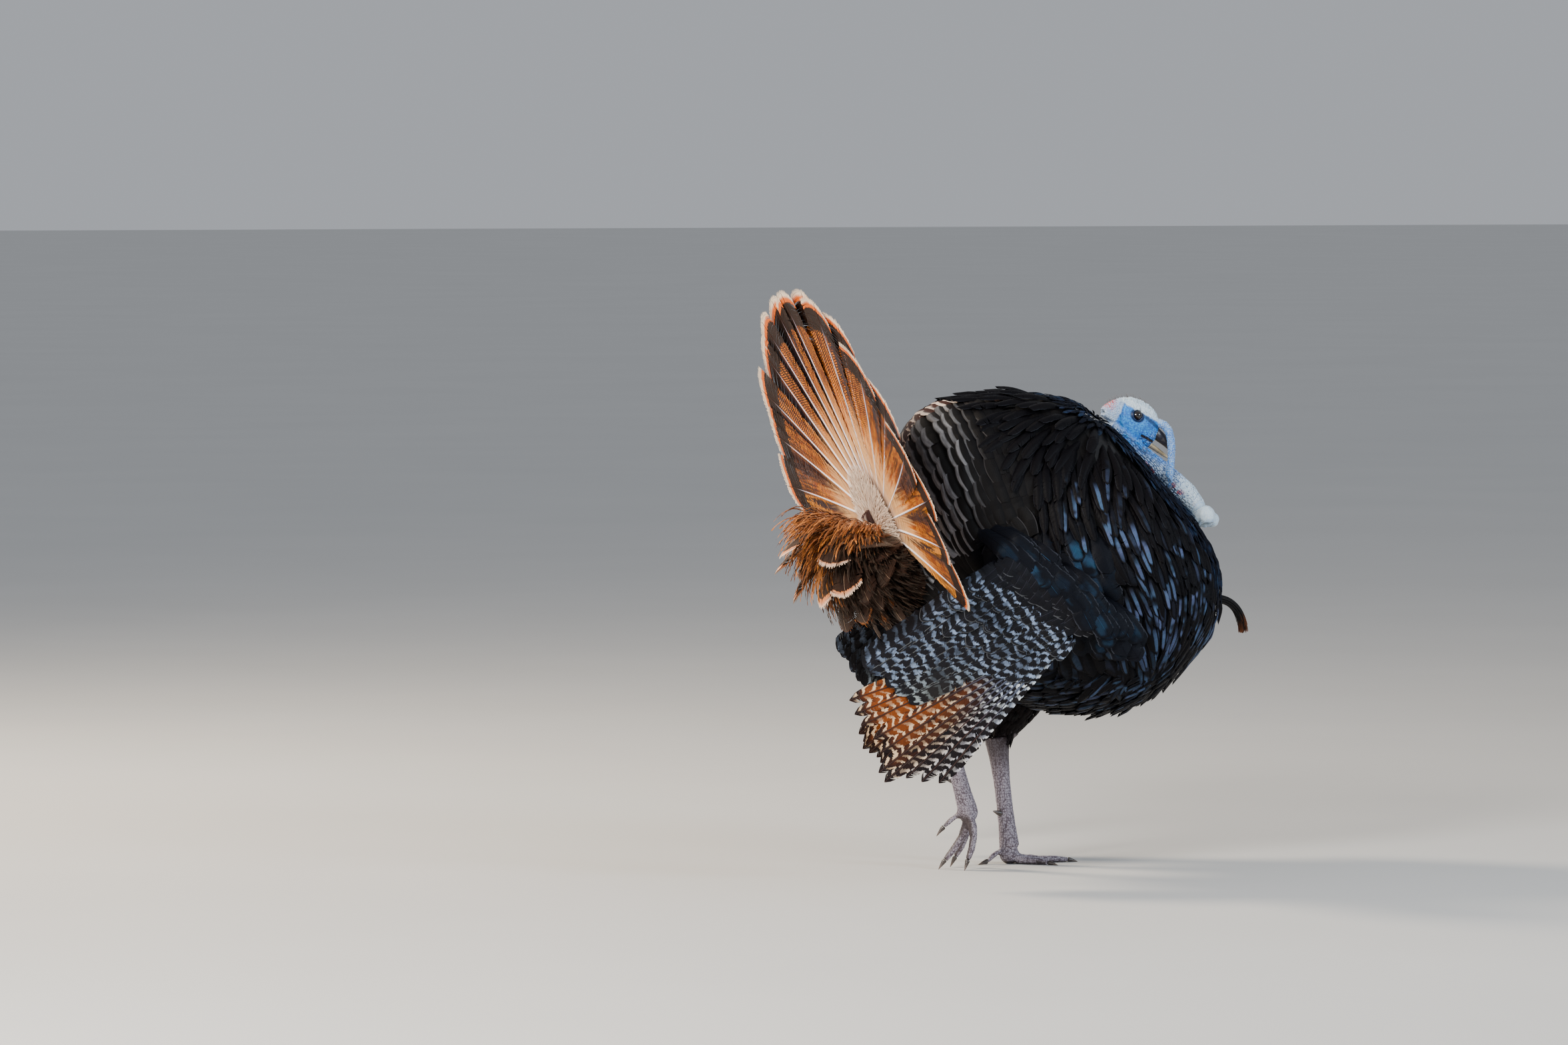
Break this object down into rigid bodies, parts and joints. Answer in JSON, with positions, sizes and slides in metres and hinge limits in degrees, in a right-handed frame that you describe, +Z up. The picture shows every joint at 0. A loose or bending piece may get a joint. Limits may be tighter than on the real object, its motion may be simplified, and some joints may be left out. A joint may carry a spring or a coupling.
{
  "type": "wild turkey",
  "caption": "Life-size still model of a male wild turkey in full strut: tail fanned, wings drooped, one leg trailing in mid-step.",
  "frame": {"origin": "on the floor, under the middle of the whole outline", "axes": "+X the way the bird walks, +Y its left side, +Z up"},
  "size_m": [0.718, 0.7562, 0.8732],
  "materials": {
    "plumage": "glossy black contour feathers with a bronze and blue sheen",
    "flight_feathers": "dark brown vanes barred with white",
    "tail_feathers": "chestnut vanes, finely barred, with a black band and a buff tip",
    "tail_coverts": "brown coverts with buff tips",
    "bare_skin": "bare blue and white skin with small bumps",
    "pale_skin": "smooth pale swollen skin",
    "leg_scales": "scaled pinkish grey skin",
    "horn": "dark horn, satin",
    "eye": "dark brown, wet gloss",
    "beard": "coarse black bristles"
  },
  "bodies": {
    "root": {"back": "plumage", "beard": "beard", "belly": "plumage", "bill_lower": "horn", "bill_upper": "horn", "breast": "plumage", "caruncle_front": "pale_skin", "caruncle_left": "pale_skin", "caruncle_right": "pale_skin", "claw_hind_left": "horn", "claw_hind_right": "horn", "claw_inner_left": "horn", "claw_inner_right": "horn", "claw_middle_left": "horn", "claw_middle_right": "horn", "claw_outer_left": "horn", "claw_outer_right": "horn", "eye_left": "eye", "eye_right": "eye", "foot_left": "leg_scales", "foot_right": "leg_scales", "head": "bare_skin", "neck": "bare_skin", "primaries_left": "flight_feathers", "primaries_right": "flight_feathers", "rump": "plumage", "secondaries_left": "flight_feathers", "secondaries_right": "flight_feathers", "shank_left": "leg_scales", "shank_right": "leg_scales", "snood": "pale_skin", "spur_left": "horn", "spur_right": "horn", "tail_base": "tail_coverts", "tail_feathers": "tail_feathers", "thigh_left": "plumage", "thigh_right": "plumage", "under_tail_coverts": "tail_coverts", "upper_tail_coverts": "tail_coverts", "wing_coverts_left": "plumage", "wing_coverts_right": "plumage"}
  },
  "joints": []
}
